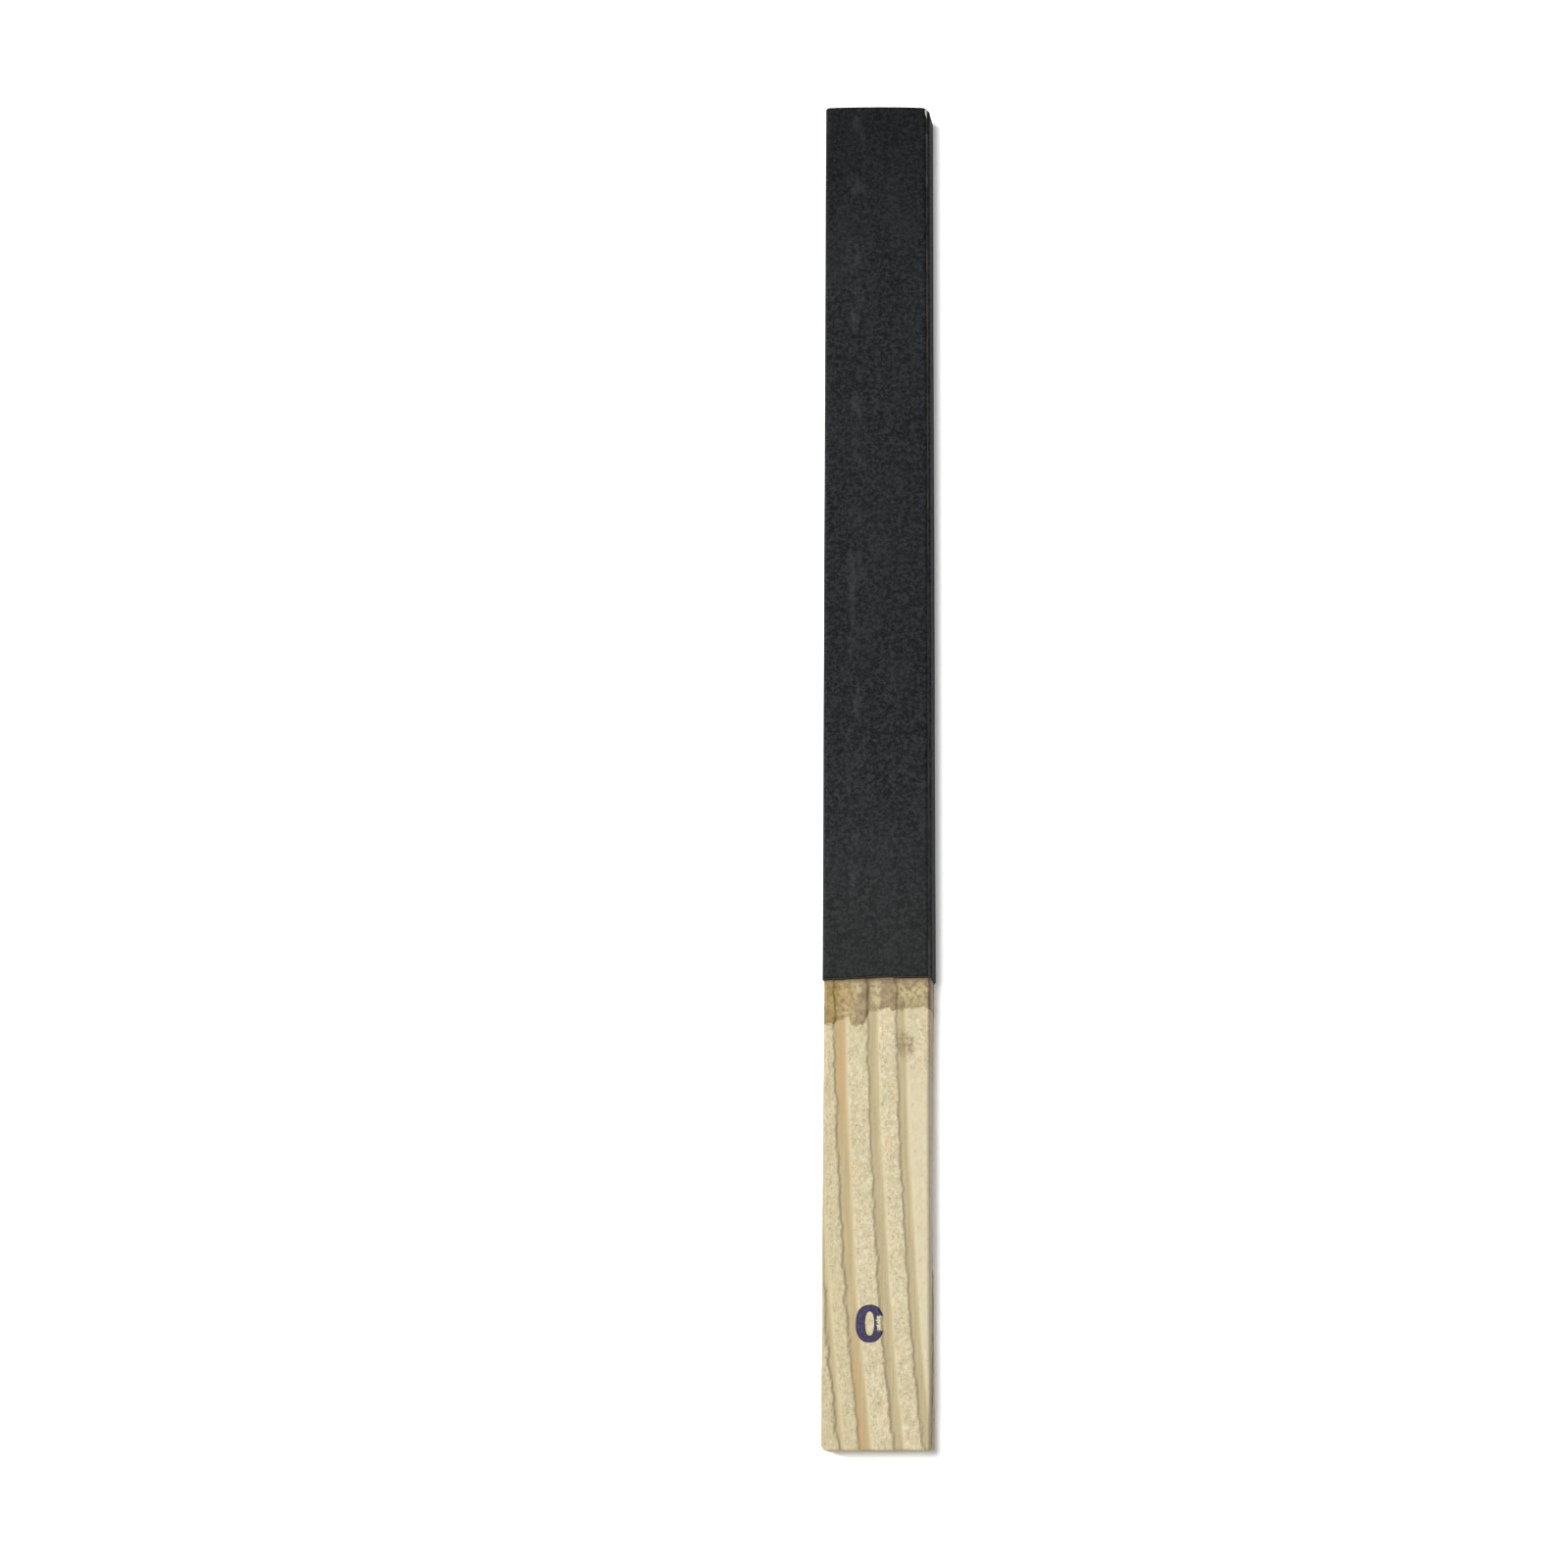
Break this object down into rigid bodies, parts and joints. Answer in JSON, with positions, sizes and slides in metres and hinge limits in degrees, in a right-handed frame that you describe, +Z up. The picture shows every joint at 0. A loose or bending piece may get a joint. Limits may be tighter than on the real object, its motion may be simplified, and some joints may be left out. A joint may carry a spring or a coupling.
{
  "type": "flat emery stick",
  "caption": "Flat softwood stick with black emery paper wound round its working end and a bare handle, for filing and polishing small work.",
  "frame": {"origin": "under the middle of the stick, on the surface that it lies on", "axes": "+Y runs along the stick from the bare handle to the wrapped tip, +X across it, +Z up out of the face with the grade numeral"},
  "size_m": [0.0272, 0.344, 0.0106],
  "materials": {
    "softwood": "sawn and lightly sanded, unfinished",
    "hide_glue": "dried translucent glue, satin",
    "backing_paper": "kraft paper, matt",
    "emery_coat": "fine black abrasive grit, matt",
    "stamp_ink": "violet stamping ink soaked into wood, matt"
  },
  "bodies": {
    "root": {"wood_core": "softwood", "glue_film": "hide_glue", "paper_backing": "backing_paper", "abrasive_coat": "emery_coat", "lap_glue": "hide_glue", "grade_mark": "stamp_ink"}
  },
  "joints": []
}
